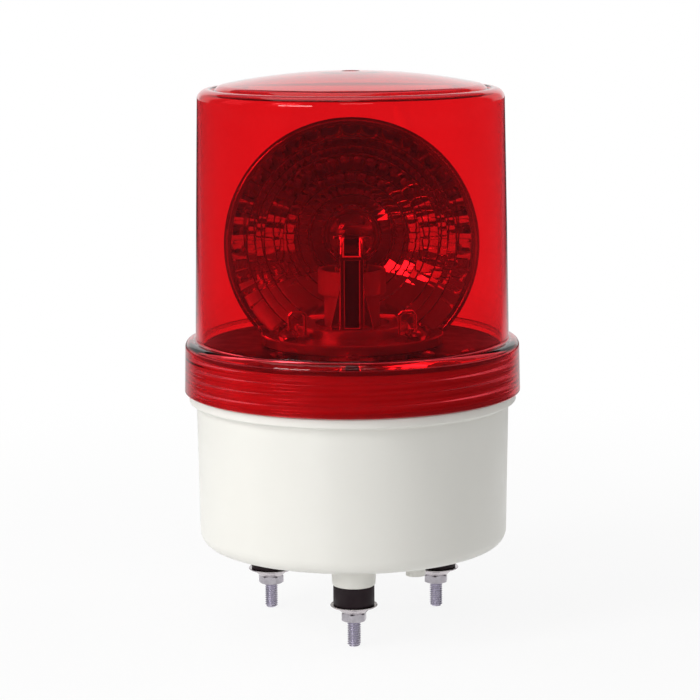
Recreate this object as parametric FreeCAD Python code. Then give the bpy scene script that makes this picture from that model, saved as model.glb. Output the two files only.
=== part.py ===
import FreeCAD, Part
import math
import os
from FreeCAD import Vector

# Driving dimensions in millimetres. Z is up, the stud tips stand on z = 0, the lamp looks along -Y.

# Feet under the base
STUD_CIRCLE_R = 44.0
STUD_ANGLES = (-90.0, 30.0, 150.0)
STUD_R = 2.95
STUD_CORE_R = 2.65
NUT_LOW = 11.4
NUT_HIGH = 15.2
NUT_ACROSS_FLATS = 10.0
SPRING_WASHER_HIGH = 17.2
FLAT_WASHER_HIGH = 18.8
ISOLATOR_R = 9.0
BOSS_LOW = 27.5
BOSS_R = 9.5

# Base housing
FLOOR_LOW = 37.1
FLOOR_HIGH = 40.6
WALL_R_LOW = 68.9
WALL_R_HIGH = 69.7
FLOOR_CORNER_R = 6.2
WALL = 3.4
LIP_R = 73.0
LIP_LOW = 102.1
LIP_HIGH = 106.2
NECK_R = 70.3
NECK_HIGH = 124.0
DECK_SEAT_R = 66.6
DECK_SEAT = 120.7
DECK_LEDGE_R = 64.8
SPOUT_X = 27.0
SPOUT_Y = -41.3
SPOUT_R = 4.3
SPOUT_BORE_R = 2.75
SPOUT_LOW = 31.0

# Lens
COLLAR_R = 75.0
COLLAR_R_HIGH = 74.5
COLLAR_LOW = 106.5
COLLAR_BORE_R = 71.9
COLLAR_SHOULDER = 126.6
COLLAR_HIGH = 129.8
LENS_R_LOW = 69.8
LENS_R_HIGH = 67.6
LENS_WALL = 2.5
LENS_EDGE = 236.1
SHOULDER_ROUND = 4.6
GROOVE_R = 61.2
GROOVE_LOW = 239.4
DOME_R = 288.0
DOME_EDGE_R = 56.5
DOME_ROUND = 5.8
LENS_TOP = 248.0

# Deck under the turntable
DECK_R = 66.3
DECK_LOW = 123.7
DECK_HIGH = 126.7
WELL_R = 39.5
WELL_LOW = 118.7
WELL_FLOOR = 120.7
WINDOW_R_IN = 33.0
WINDOW_R_OUT = 57.0
WINDOW_HALF_ANGLE = 37.0

# Turntable and its drive
PILLAR_R = 8.0
PILLAR_HIGH = 139.2
BUSH_BORE_R = 8.05
BUSH_R = 10.5
BUSH_HIGH = 133.1
TABLE_R = 40.6
TABLE_LOW = 127.2
TABLE_HIGH = 132.1
TABLE_SPIGOT_LOW = 123.2
TABLE_CORE_HIGH = 129.6
HUB_R = 25.0
HUB_HIGH = 136.1
HUB_BORE_R = 16.6
GEAR_MODULE = 1.0
GEAR_TEETH = 72
PINION_TEETH = 18
GEAR_BORE_R = 30.0
GEAR_LOW = 121.8
PINION_LOW = 121.2
PINION_HIGH = 126.8
BACKLASH = 0.24
SHAFT_Y = -(GEAR_TEETH + PINION_TEETH) * GEAR_MODULE / 2
SHAFT_R = 3.0
MOTOR_Y = -38.0
BRACKET_LOW = 114.2
BRACKET_HIGH = 116.2
GEARBOX_LOW = 94.2
SHAFT_LOW = 102.2

# Mirror: a paraboloid with its focus on the turntable axis
MIRROR_Z = 170.8
MIRROR_FOCAL = 28.25
MIRROR_SHELL = 3.0
MIRROR_RIM_R = 56.8
MIRROR_FRONT = -1.2
MIRROR_EYE_R = 12.6
MIRROR_EYE_STEP = 0.8
# Facet rings from the eye outwards: inner radius, outer radius, facets in the ring, offset in facets
FACET_RINGS = (
    (13.0, 19.6, 48, 0.5),
    (20.0, 25.6, 48, 0.0),
    (26.2, 31.0, 40, 0.5),
    (31.3, 39.2, 40, 0.0),
    (39.7, 43.0, 80, 0.5),
    (43.3, 46.7, 80, 0.0),
    (47.3, 53.4, 40, 0.5),
)

# Lamp and shield post
SOCKET_R = 15.2
SOCKET_BORE_R = 13.2
SOCKET_LOW = 135.0
SOCKET_WAIST_R = 12.3
SOCKET_WAIST_HIGH = 149.1
SOCKET_FLOOR = 142.2
SOCKET_HIGH = 160.2
BULB_Z = 175.3
BULB_R = 12.5
BULB_NECK_R = 6.9
CAP_R = 7.5
CAP_LOW = 145.6
CAP_HIGH = 160.8
POST_FRONT = -24.3
POST_BACK = -17.6
POST_HALF_WIDTH = 5.1
POST_RAIL = 2.0
POST_KINK = 167.9
POST_LEAN = 4.6
POST_HIGH = 177.0
POST_SCREW = (0.0, -19.6)

# Horn in the base
HORN_R = 23.5
HORN_EAR_R = 33.5
HORN_LOW = 42.6
HORN_FLANGE_HIGH = 45.1
HORN_BASKET_HIGH = 56.6
HORN_MAGNET_HIGH = 63.6

# Control board
BOARD_LOW = 68.0
BOARD_HIGH = 69.6
BOARD_HALF_X = 39.0
BOARD_Y = (-13.0, 43.0)
BOARD_HOLES = ((-34.0, -8.0), (34.0, -8.0), (-32.0, 38.0), (32.0, 38.0))


# Building helpers
def polar(radius, angle):
    """Point (x, y) at a radius and an angle in degrees."""
    turn = math.radians(angle)
    return radius * math.cos(turn), radius * math.sin(turn)


def on_arc(centre, radius, angle):
    """Point at an angle on a rounding with the given centre."""
    dx, dy = polar(radius, angle)
    return centre[0] + dx, centre[1] + dy


def dome_middle(edge, crown):
    """Middle point of the arc from an edge point to a crown on the axis, round about the axis."""
    radius, low = edge
    rise = crown - low
    ball = (radius ** 2 + rise ** 2) / (2 * rise)
    half = math.asin(radius / abs(ball)) / 2
    return abs(ball) * math.sin(half), crown - ball + ball * math.cos(half)


def outline(start, steps, place):
    """Closed face; a step is an end point, or a (middle, end) pair for an arc."""
    edges = []
    here = start
    for step in list(steps) + [start]:
        if isinstance(step[0], tuple):
            middle, end = step
            edges.append(Part.Arc(place(here), place(middle), place(end)).toShape())
        else:
            end = step
            if end != here:
                edges.append(Part.LineSegment(place(here), place(end)).toShape())
        here = end
    return Part.Face(Part.Wire(edges))


def turned(start, *steps):
    """Solid of revolution about Z from an (r, z) outline."""
    face = outline(start, steps, lambda p: Vector(p[0], 0, p[1]))
    return face.revolve(Vector(0, 0, 0), Vector(0, 0, 1), 360)


def prism(low, high, start, *steps):
    """Upright prism between two heights from an (x, y) outline."""
    face = outline(start, steps, lambda p: Vector(p[0], p[1], low))
    return face.extrude(Vector(0, 0, high - low))


def rod(radius, low, high, at=(0, 0)):
    return Part.makeCylinder(radius, high - low, Vector(at[0], at[1], low))


def pipe(outer, inner, low, high, at=(0, 0)):
    return rod(outer, low, high, at).cut(rod(inner, low - 1, high + 1, at))


def box(x0, x1, y0, y1, z0, z1):
    return Part.makeBox(x1 - x0, y1 - y0, z1 - z0, Vector(x0, y0, z0))


def spun(shape, angle):
    """Copy turned about the Z axis."""
    copy = shape.copy()
    copy.rotate(Vector(0, 0, 0), Vector(0, 0, 1), angle)
    return copy


def around(shape, count, first=0.0):
    return [spun(shape, first + k * 360.0 / count) for k in range(count)]


def mirrored(shape):
    """The shape and its twin across the YZ plane."""
    return [shape, shape.mirror(Vector(0, 0, 0), Vector(1, 0, 0))]


def hexagon(across_flats, low, high, at=(0, 0), first=0.0):
    corner = across_flats / math.sqrt(3)
    points = [on_arc(at, corner, first + 60 * k) for k in range(6)]
    return prism(low, high, *points)


def sector(inner, outer, middle, half, low, high):
    """Flat ring sector around an angle."""
    corners = [polar(outer, middle - half), polar(outer, middle + half)]
    corners += [polar(inner, middle + half), polar(inner, middle - half)]
    far = (polar(outer, middle), corners[1])
    near = (polar(inner, middle), corners[3])
    return prism(low, high, corners[0], far, corners[2], near)


def screw(head_r, head_height, shank_r, seat, tip, at=(0, 0)):
    """Domed screw with its head on the seat plane, up or down according to the tip."""
    way = 1 if seat > tip else -1
    crown = seat + way * head_height
    edge = (head_r, seat + way * 0.4 * head_height)
    body = turned((0, tip), (shank_r, tip), (shank_r, seat), (head_r, seat), edge,
                  (dome_middle(edge, crown), (0, crown)))
    body.translate(Vector(at[0], at[1], 0))
    cut = sorted((crown, crown - way * 0.5 * head_height))
    for half_x, half_y in ((0.55 * head_r, 0.3), (0.3, 0.55 * head_r)):
        body = body.cut(box(at[0] - half_x, at[0] + half_x, at[1] - half_y, at[1] + half_y, *cut))
    return body


def bent_wire(radius, points):
    """Round wire through corner points, with ball-shaped bends."""
    pieces = []
    for first, last in zip(points, points[1:]):
        run = Vector(*last).sub(Vector(*first))
        pieces.append(Part.makeCylinder(radius, run.Length, Vector(*first), run))
    balls = [Part.makeSphere(radius, Vector(*p)) for p in points[1:-1]]
    return pieces[0].fuse(pieces[1:] + balls)


def compound(shapes):
    return Part.makeCompound(list(shapes))


STUDS = [polar(STUD_CIRCLE_R, angle) for angle in STUD_ANGLES]
DECK_POSTS = [polar(58.0, angle) for angle in (90.0, 210.0, 330.0)]
HORN_POSTS = [polar(HORN_EAR_R, angle) for angle in (0.0, 90.0, 180.0, 270.0)]
SPACERS = [polar(radius, angle) for radius in (46.0, 59.0) for angle in (-135.0, -45.0)]
MOTOR_SCREWS = [on_arc((0, MOTOR_Y), 15.0, angle) for angle in (-160.0, -20.0, 40.0, 140.0)]
PILLAR_SCREWS = [polar(11.0, angle) for angle in (90.0, 210.0, 330.0)]
GEAR_SCREWS = [polar(32.5, angle) for angle in (90.0, 210.0, 330.0)]
EAR_SCREWS = [(28.0, -23.0), (-28.0, -23.0)]


# Feet
def mounting_studs():
    """Studs through the floor: full thread at the free end, a plain core inside the stacked pieces."""
    top = FLOOR_HIGH + 7.0
    stud = turned((0, 0), (STUD_R - 0.9, 0), (STUD_R, 0.9), (STUD_R, NUT_LOW - 0.3), (STUD_CORE_R, NUT_LOW),
                  (STUD_CORE_R, top - 0.6), (STUD_CORE_R - 0.6, top), (0, top))
    return compound([stud.translated(Vector(x, y, 0)) for x, y in STUDS])


def hex_nut(low, high, first):
    """Nut with chamfered corners on the Z axis."""
    crown = turned((2.7, low), (4.9, low), (6.2, low + 0.75), (6.2, high - 0.75), (4.9, high), (2.7, high))
    return hexagon(NUT_ACROSS_FLATS, low, high, (0, 0), first).common(crown)


def hex_nuts():
    return compound([hex_nut(NUT_LOW, NUT_HIGH, first).translated(Vector(x, y, 0))
                     for (x, y), first in zip(STUDS, (20.0, 23.0, 56.0))])


def inner_nuts():
    """Nuts inside the base that clamp the studs to the floor."""
    nut = hex_nut(FLOOR_HIGH, FLOOR_HIGH + 5.0, 0.0)
    return compound([nut.translated(Vector(x, y, 0)) for x, y in STUDS])


def spring_washers():
    """Split washers, wider at the top than at the nut."""
    low, high = NUT_HIGH, SPRING_WASHER_HIGH
    split = box(2.0, 8.0, -0.4, 0.4, low - 1, high + 1)
    ring = turned((3.1, low), (5.4, low), (6.7, high - 0.7), (6.7, high), (3.1, high)).cut(split)
    rings = []
    for (x, y), angle in zip(STUDS, (-32.0, 80.0, 200.0)):
        copy = spun(ring, angle)
        copy.translate(Vector(x, y, 0))
        rings.append(copy)
    return compound(rings)


def flat_washers():
    """Large washers with a coned underside."""
    low, high, edge = SPRING_WASHER_HIGH, FLAT_WASHER_HIGH, 10.3
    ring = turned((3.2, low), (7.0, low), (edge - 0.4, high - 0.8), (edge, high - 0.5), (edge, high - 0.2),
                  (edge - 0.2, high), (3.2, high))
    return compound([ring.translated(Vector(x, y, 0)) for x, y in STUDS])


def rubber_isolators():
    """Plain rubber sleeves with rounded edges."""
    low, high, r, edge = FLAT_WASHER_HIGH, BOSS_LOW, ISOLATOR_R, 0.5
    sleeve = turned((2.8, low), (r - edge, low), (on_arc((r - edge, low + edge), edge, -45), (r, low + edge)),
                    (r, high - edge), (on_arc((r - edge, high - edge), edge, 45), (r - edge, high)), (2.8, high))
    return compound([sleeve.translated(Vector(x, y, 0)) for x, y in STUDS])


# Base housing
def housing_shell():
    """Cup with a drafted wall, rounded floor edge, lip and screw neck."""
    corner_z = FLOOR_LOW + FLOOR_CORNER_R
    floor_r = WALL_R_LOW - FLOOR_CORNER_R
    under_lip = (WALL_R_HIGH + 1.5, LIP_LOW - 1.5)
    inner_low = WALL_R_LOW - WALL
    inner_corner = (inner_low - 6.0, FLOOR_HIGH + 6.0)
    return turned(
        (0, FLOOR_LOW), (floor_r, FLOOR_LOW),
        (on_arc((floor_r, corner_z), FLOOR_CORNER_R, -45), (WALL_R_LOW, corner_z)),
        (WALL_R_HIGH, LIP_LOW - 1.5),
        (on_arc(under_lip, 1.5, 135), (under_lip[0], LIP_LOW)),
        (LIP_R - 0.6, LIP_LOW), (on_arc((LIP_R - 0.6, LIP_LOW + 0.6), 0.6, -45), (LIP_R, LIP_LOW + 0.6)),
        (LIP_R, LIP_HIGH - 0.4), (LIP_R - 0.4, LIP_HIGH),
        (NECK_R, LIP_HIGH), (NECK_R, NECK_HIGH - 0.6), (NECK_R - 0.6, NECK_HIGH),
        (DECK_SEAT_R, NECK_HIGH), (DECK_SEAT_R, DECK_SEAT),
        (DECK_LEDGE_R, DECK_SEAT), (DECK_LEDGE_R, DECK_SEAT - 2.0),
        (WALL_R_HIGH - WALL, DECK_SEAT - 5.0), (inner_low, inner_corner[1]),
        (on_arc(inner_corner, 6.0, -45), (inner_corner[0], FLOOR_HIGH)), (0, FLOOR_HIGH))


def foot_boss(x, y):
    """Tapered boss under the floor with a rounded foot edge."""
    boss = turned((0, BOSS_LOW), (BOSS_R - 1.0, BOSS_LOW),
                  (on_arc((BOSS_R - 1.0, BOSS_LOW + 1.0), 1.0, -45), (BOSS_R, BOSS_LOW + 1.0)),
                  (BOSS_R + 0.4, FLOOR_LOW + 0.5), (0, FLOOR_LOW + 0.5))
    return boss.translated(Vector(x, y, 0))


def sound_slots():
    """Ring of rounded radial slots in the floor below the horn."""
    slot = prism(FLOOR_LOW - 1, FLOOR_HIGH + 1, (8.0, -1.6), (19.0, -1.6), ((20.6, 0), (19.0, 1.6)),
                 (8.0, 1.6), ((6.4, 0), (8.0, -1.6)))
    return around(slot, 10)


def base_housing():
    added = [foot_boss(x, y) for x, y in STUDS]
    added.append(rod(SPOUT_R, SPOUT_LOW, FLOOR_LOW + 0.5, (SPOUT_X, SPOUT_Y)))
    added += [rod(4.5, FLOOR_HIGH - 0.5, DECK_LOW, at) for at in DECK_POSTS]
    added += [rod(3.4, FLOOR_HIGH - 0.5, HORN_LOW, at) for at in HORN_POSTS]
    added += [rod(3.6, FLOOR_HIGH - 0.5, BOARD_LOW, at) for at in BOARD_HOLES]
    cuts = [rod(3.1, BOSS_LOW - 1, FLOOR_HIGH + 1, at) for at in STUDS]
    cuts.append(rod(SPOUT_BORE_R, SPOUT_LOW - 1, FLOOR_HIGH + 1, (SPOUT_X, SPOUT_Y)))
    cuts += [rod(1.5, DECK_LOW - 14, DECK_LOW + 1, at) for at in DECK_POSTS]
    cuts += [rod(1.2, FLOOR_LOW + 1, HORN_LOW + 1, at) for at in HORN_POSTS]
    cuts += [rod(1.3, BOARD_LOW - 10, BOARD_LOW + 1, at) for at in BOARD_HOLES]
    return housing_shell().fuse(added).cut(cuts + sound_slots()).removeSplitter()


# Lens
def lens():
    """Screw collar, drafted wall, rounded shoulder, grooved edge and shallow dome with a gate dimple."""
    collar_round = (COLLAR_R_HIGH - 3.4, COLLAR_HIGH - 3.4)
    shoulder = (LENS_R_HIGH - SHOULDER_ROUND, LENS_EDGE)
    crest = LENS_EDGE + SHOULDER_ROUND
    lean = 90 - math.degrees(math.asin(DOME_EDGE_R / DOME_R))
    dome_edge = on_arc((0, LENS_TOP - DOME_R), DOME_R, lean)
    rim = on_arc(dome_edge, -DOME_ROUND, lean)
    inner_top = LENS_TOP - LENS_WALL
    inner_edge = on_arc(rim, DOME_ROUND - LENS_WALL, lean)
    inner_corner = (LENS_R_HIGH - LENS_WALL - 3.0, LENS_EDGE - 1.7)
    body = turned(
        (COLLAR_BORE_R, COLLAR_LOW), (COLLAR_R - 0.4, COLLAR_LOW), (COLLAR_R, COLLAR_LOW + 0.4),
        (COLLAR_R_HIGH, collar_round[1]),
        (on_arc(collar_round, 3.4, 45), (collar_round[0], COLLAR_HIGH)),
        (LENS_R_LOW + 0.8, COLLAR_HIGH),
        (on_arc((LENS_R_LOW + 0.8, COLLAR_HIGH + 0.8), 0.8, -135), (LENS_R_LOW, COLLAR_HIGH + 0.8)),
        (LENS_R_HIGH, LENS_EDGE), (on_arc(shoulder, SHOULDER_ROUND, 45), (shoulder[0], crest)),
        (GROOVE_R + 0.8, crest - 0.1), (GROOVE_R + 0.1, GROOVE_LOW), (GROOVE_R - 0.6, GROOVE_LOW),
        on_arc(rim, DOME_ROUND, 30), (on_arc(rim, DOME_ROUND, (30 + lean) / 2), dome_edge),
        (dome_middle(dome_edge, LENS_TOP), (0, LENS_TOP)), (0, inner_top),
        (dome_middle(inner_edge, inner_top), inner_edge),
        (on_arc(rim, DOME_ROUND - LENS_WALL, (30 + lean) / 2), on_arc(rim, DOME_ROUND - LENS_WALL, 30)),
        (GROOVE_R - 1.2, inner_corner[1] + 3.0), (inner_corner[0], inner_corner[1] + 3.0),
        (on_arc(inner_corner, 3.0, 45), (inner_corner[0] + 3.0, inner_corner[1])),
        (LENS_R_LOW - LENS_WALL, COLLAR_HIGH), (LENS_R_LOW - LENS_WALL, COLLAR_SHOULDER),
        (COLLAR_BORE_R, COLLAR_SHOULDER))
    dimple = rod(4.0, LENS_TOP - 0.9, LENS_TOP + 1)
    return body.cut(dimple)


def lens_seal():
    low, high, inner, outer = NECK_HIGH + 0.1, COLLAR_SHOULDER - 0.1, DECK_SEAT_R + 0.3, NECK_R + 0.2
    return turned((inner, low), (outer - 0.3, low), (outer, low + 0.3), (outer, high - 0.3),
                  (outer - 0.3, high), (inner, high))


# Deck and lamp pillar
def chassis_deck():
    """Moulded plate with a well for the gear, a skirt, and a drive window at the front."""
    plate = turned((8.1, WELL_LOW), (WELL_R + 2.2, WELL_LOW), (WELL_R + 2.2, DECK_LOW), (64.2, DECK_LOW),
                   (64.2, DECK_SEAT), (DECK_R, DECK_SEAT), (DECK_R, DECK_HIGH - 0.5),
                   (DECK_R - 0.5, DECK_HIGH), (WELL_R, DECK_HIGH), (WELL_R, WELL_FLOOR), (8.1, WELL_FLOOR))
    window = sector(WINDOW_R_IN, WINDOW_R_OUT, -90, WINDOW_HALF_ANGLE, WELL_LOW - 1, DECK_HIGH + 1)
    cuts = [rod(1.8, DECK_SEAT - 1, DECK_HIGH + 1, at) for at in DECK_POSTS + SPACERS]
    cuts += [rod(1.2, WELL_LOW - 1, WELL_FLOOR - 0.4, at) for at in PILLAR_SCREWS]
    return plate.cut([window] + cuts)


def deck_screws():
    return compound([screw(3.2, 2.2, 1.5, DECK_HIGH, DECK_LOW - 11, at) for at in DECK_POSTS])


def lamp_pillar():
    """Flanged tube that carries the socket, with a groove for the retaining clip."""
    tube = turned((4.5, WELL_LOW - 3.0), (14.0, WELL_LOW - 3.0), (14.0, WELL_LOW), (PILLAR_R, WELL_LOW),
                  (PILLAR_R, BUSH_HIGH + 0.1), (7.3, BUSH_HIGH + 0.1), (7.3, BUSH_HIGH + 1.3),
                  (PILLAR_R, BUSH_HIGH + 1.3), (PILLAR_R, PILLAR_HIGH), (4.5, PILLAR_HIGH))
    return tube.cut([rod(1.3, WELL_LOW - 4, WELL_LOW + 1, at) for at in PILLAR_SCREWS])


def pillar_screws():
    return compound([screw(2.4, 1.6, 1.2, WELL_LOW - 3.0, WELL_FLOOR - 0.6, at) for at in PILLAR_SCREWS])


def thrust_washer():
    return pipe(13.0, 8.2, WELL_FLOOR, WELL_FLOOR + 0.9)


def retaining_clip():
    ring = pipe(10.2, 7.35, BUSH_HIGH + 0.2, BUSH_HIGH + 1.2)
    return ring.cut(box(-3.0, 3.0, 0, 12, BUSH_HIGH, BUSH_HIGH + 2))


# Turntable and drive
def rotor_bush():
    return turned((BUSH_BORE_R, WELL_FLOOR + 1.0), (13.0, WELL_FLOOR + 1.0), (13.0, TABLE_SPIGOT_LOW),
                  (BUSH_R, TABLE_SPIGOT_LOW), (BUSH_R, BUSH_HIGH), (BUSH_BORE_R, BUSH_HIGH))


def turntable():
    """Disc with a raised hub, cored from below between six ribs."""
    disc = turned((BUSH_R, TABLE_SPIGOT_LOW), (GEAR_BORE_R, TABLE_SPIGOT_LOW), (GEAR_BORE_R, TABLE_LOW),
                  (TABLE_R - 0.5, TABLE_LOW), (TABLE_R, TABLE_LOW + 0.5), (TABLE_R, TABLE_HIGH - 0.6),
                  (TABLE_R - 0.6, TABLE_HIGH), (HUB_R, TABLE_HIGH), (HUB_R, HUB_HIGH - 0.5),
                  (HUB_R - 0.5, HUB_HIGH), (HUB_BORE_R, HUB_HIGH), (HUB_BORE_R, BUSH_HIGH),
                  (BUSH_R, BUSH_HIGH))
    core = pipe(27.5, 14.0, TABLE_SPIGOT_LOW - 1, TABLE_CORE_HIGH)
    ribs = around(box(12.0, 29.0, -1.0, 1.0, TABLE_SPIGOT_LOW - 2, TABLE_CORE_HIGH + 1), 6)
    cuts = [core.cut(ribs), rod(1.6, TABLE_LOW + 1.0, HUB_HIGH + 1, POST_SCREW)]
    cuts += [rod(1.1, TABLE_LOW - 1, TABLE_LOW + 3.6, at) for at in GEAR_SCREWS]
    cuts += [rod(1.2, TABLE_HIGH - 4.0, TABLE_HIGH + 1, at) for at in EAR_SCREWS]
    cuts += [rod(0.8, TABLE_HIGH - 3.0, TABLE_HIGH + 1, (x, -19.5)) for x in (-27.5, -20.5, 20.5, 27.5)]
    return disc.cut(cuts)


def gear_outline(teeth, phase, low, high):
    """Spur gear blank with 20 degree involute flanks; a tooth stands on the phase angle."""
    pitch_r = GEAR_MODULE * teeth / 2
    base_r = pitch_r * math.cos(math.radians(20))
    root_r = pitch_r - 1.25 * GEAR_MODULE
    tip_r = pitch_r + GEAR_MODULE

    def roll(radius):
        spread = math.sqrt(max(radius / base_r, 1.0) ** 2 - 1)
        return spread - math.atan(spread)

    half_tooth = math.pi / (2 * teeth) - BACKLASH / (4 * pitch_r)
    flank = [(r, half_tooth + roll(pitch_r) - roll(r)) for r in (root_r, max(base_r, root_r), pitch_r, tip_r)]
    points = []
    for tooth in range(teeth):
        middle = math.radians(phase) + 2 * math.pi * tooth / teeth
        rising = [(r, middle - turn) for r, turn in flank]
        falling = [(r, middle + turn) for r, turn in reversed(flank)]
        for radius, angle in rising + falling:
            point = (radius * math.cos(angle), radius * math.sin(angle))
            if not points or math.dist(point, points[-1]) > 1e-6:
                points.append(point)
    return prism(low, high, *points)


def drive_gear():
    gear = gear_outline(GEAR_TEETH, -90 + 180.0 / GEAR_TEETH, GEAR_LOW, TABLE_LOW)
    cuts = [rod(GEAR_BORE_R, GEAR_LOW - 1, TABLE_LOW + 1)]
    cuts += [rod(1.3, GEAR_LOW - 1, TABLE_LOW + 1, at) for at in GEAR_SCREWS]
    cuts += [rod(2.2, GEAR_LOW - 1, GEAR_LOW + 2.0, at) for at in GEAR_SCREWS]
    return gear.cut(cuts)


def gear_screws():
    return compound([screw(2.0, 1.5, 1.1, GEAR_LOW + 2.0, TABLE_LOW + 3.5, at) for at in GEAR_SCREWS])


def drive_pinion():
    pinion = gear_outline(PINION_TEETH, 90, PINION_LOW, PINION_HIGH)
    hub = rod(5.5, PINION_LOW - 3.0, PINION_LOW)
    bored = pinion.fuse(hub).cut(rod(SHAFT_R, PINION_LOW - 5, PINION_HIGH + 1)).removeSplitter()
    return bored.translated(Vector(0, SHAFT_Y, 0))


def output_shaft():
    tip = PINION_HIGH + 2.0
    shaft = turned((0, SHAFT_LOW), (SHAFT_R, SHAFT_LOW), (SHAFT_R, tip - 0.5), (SHAFT_R - 0.5, tip), (0, tip))
    return shaft.translated(Vector(0, SHAFT_Y, 0))


def gearbox_housing():
    """Round gear case with an offset output boss."""
    low, high = GEARBOX_LOW, BRACKET_LOW
    case = turned((0, low), (18.5, low), (18.5, high - 0.8), (17.7, high), (0, high))
    case.translate(Vector(0, MOTOR_Y, 0))
    boss = rod(6.0, high - 1, BRACKET_HIGH + 0.6, (0, SHAFT_Y))
    bore = rod(SHAFT_R + 0.05, SHAFT_LOW - 0.5, BRACKET_HIGH + 2, (0, SHAFT_Y))
    threads = [rod(1.3, high - 6, high + 1, at) for at in MOTOR_SCREWS]
    return case.fuse(boss).cut([bore] + threads).removeSplitter()


def motor_can():
    """Drawn motor can with a stepped end cap and two solder tags."""
    low, high = GEARBOX_LOW - 32.0, GEARBOX_LOW
    can = turned((0, low - 1.5), (5.0, low - 1.5), (5.0, low), (14.0, low), (15.5, low + 1.5), (15.5, high),
                 (0, high))
    tags = [box(x - 0.4, x + 0.4, -1.6, 1.6, low - 4.0, low + 0.5) for x in (-9.0, 9.0)]
    return can.fuse(tags).translated(Vector(0, MOTOR_Y, 0))


def motor_bracket():
    plate = sector(27.0, 63.0, -90, 52, BRACKET_LOW, BRACKET_HIGH)
    cuts = [rod(6.1, BRACKET_LOW - 1, BRACKET_HIGH + 1, (0, SHAFT_Y))]
    cuts += [rod(1.6, BRACKET_LOW - 1, BRACKET_HIGH + 1, at) for at in MOTOR_SCREWS + SPACERS]
    return plate.cut(cuts)


def motor_screws():
    return compound([screw(2.6, 1.7, 1.3, BRACKET_HIGH, BRACKET_LOW - 5.5, at) for at in MOTOR_SCREWS])


def bracket_spacers():
    return compound([pipe(3.5, 1.8, BRACKET_HIGH, DECK_LOW, at) for at in SPACERS])


def bracket_screws():
    return compound([screw(2.9, 1.9, 1.5, DECK_HIGH, BRACKET_LOW - 3, at) for at in SPACERS])


# Mirror
def dish(radius):
    """Depth y of the paraboloid at a radius from the mirror axis."""
    return MIRROR_FOCAL - radius ** 2 / (4 * MIRROR_FOCAL)


def paraboloid(radius, apex, front):
    """Solid about the mirror axis between a paraboloid back and a flat front."""
    edge = apex - MIRROR_FOCAL + dish(radius)
    corners = [(0, apex), (radius / 2, apex), (radius, edge), (radius, front), (0, front), (0, apex)]
    points = [Vector(0, y, MIRROR_Z + r) for r, y in corners]
    curve = Part.BezierCurve()
    curve.setPoles(points[:3])
    sides = Part.makePolygon(points[2:])
    face = Part.Face(Part.Wire([curve.toShape()] + sides.Edges))
    return face.revolve(Vector(0, 0, MIRROR_Z), Vector(0, 1, 0), 360)


def facet_ring(inner, outer, count, offset):
    """Cutter for one ring: flat facets between two circles on the paraboloid, open to the front."""
    def loop(radius, y):
        angles = [math.radians(90 + 360.0 * (k + offset) / count) for k in range(count)]
        return [Vector(radius * math.cos(a), y, MIRROR_Z + radius * math.sin(a)) for a in angles]

    loops = [loop(inner, dish(inner)), loop(outer, dish(outer)), loop(outer, MIRROR_FRONT - 4)]
    faces = [Part.Face(Part.makePolygon(ends + ends[:1])) for ends in (loops[0], loops[-1])]
    for back, front in zip(loops, loops[1:]):
        for k in range(count):
            n = (k + 1) % count
            faces.append(Part.Face(Part.makePolygon([back[k], back[n], front[n], front[k], back[k]])))
    solid = Part.makeSolid(Part.makeShell(faces))
    if solid.Volume < 0:
        solid.reverse()
    return solid


def mirror_ear():
    """Foot plate on the turntable with a screw hole and two holes for the spring clip."""
    plate = prism(TABLE_HIGH, TABLE_HIGH + 1.8, (24.0, -27.5), (28.0, -27.5), ((31.2, -26.2), (32.5, -23.0)),
                  (32.5, 8.0), (18.5, 14.0), (18.5, -19.0))
    holes = [rod(0.8, TABLE_HIGH - 1, TABLE_HIGH + 3, (x, -19.5)) for x in (20.5, 27.5)]
    holes.append(rod(1.7, TABLE_HIGH - 1, TABLE_HIGH + 3, EAR_SCREWS[0]))
    return plate.cut(rod(HUB_R + 1, TABLE_HIGH - 1, TABLE_HIGH + 3)).cut(holes)


def reflector():
    """Faceted bowl with a flat rim and a smooth stepped eye, cut off level above the turntable."""
    shell = paraboloid(MIRROR_RIM_R - 1.6, MIRROR_FOCAL + MIRROR_SHELL, MIRROR_FRONT)
    rim = Part.makeCylinder(MIRROR_RIM_R, 2.2, Vector(0, MIRROR_FRONT, MIRROR_Z), Vector(0, 1, 0))
    eye = paraboloid(MIRROR_EYE_R, MIRROR_FOCAL + MIRROR_EYE_STEP, 10.0)
    below = box(-80, 80, -40, 60, 60, TABLE_HIGH)
    hub_gap = rod(HUB_R + 1, TABLE_HIGH - 1, HUB_HIGH + 1)
    bowl = shell.fuse(rim)
    for ring in FACET_RINGS:
        bowl = bowl.cut(facet_ring(*ring))
    bowl = bowl.cut([eye, below, hub_gap])
    return bowl.fuse(mirrored(mirror_ear())).removeSplitter()


def reflector_screws():
    return compound([screw(2.8, 2.0, 1.2, TABLE_HIGH + 1.8, TABLE_HIGH - 3.8, at) for at in EAR_SCREWS])


def reflector_clips():
    """Spring wire staples standing beside the hub."""
    low, high = TABLE_HIGH - 2.8, TABLE_HIGH + 11.5
    staple = bent_wire(0.75, [(20.5, -19.5, low), (20.5, -19.5, high - 1.5), (22.0, -19.5, high),
                              (26.0, -19.5, high), (27.5, -19.5, high - 1.5), (27.5, -19.5, low)])
    return compound(mirrored(staple))


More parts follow.
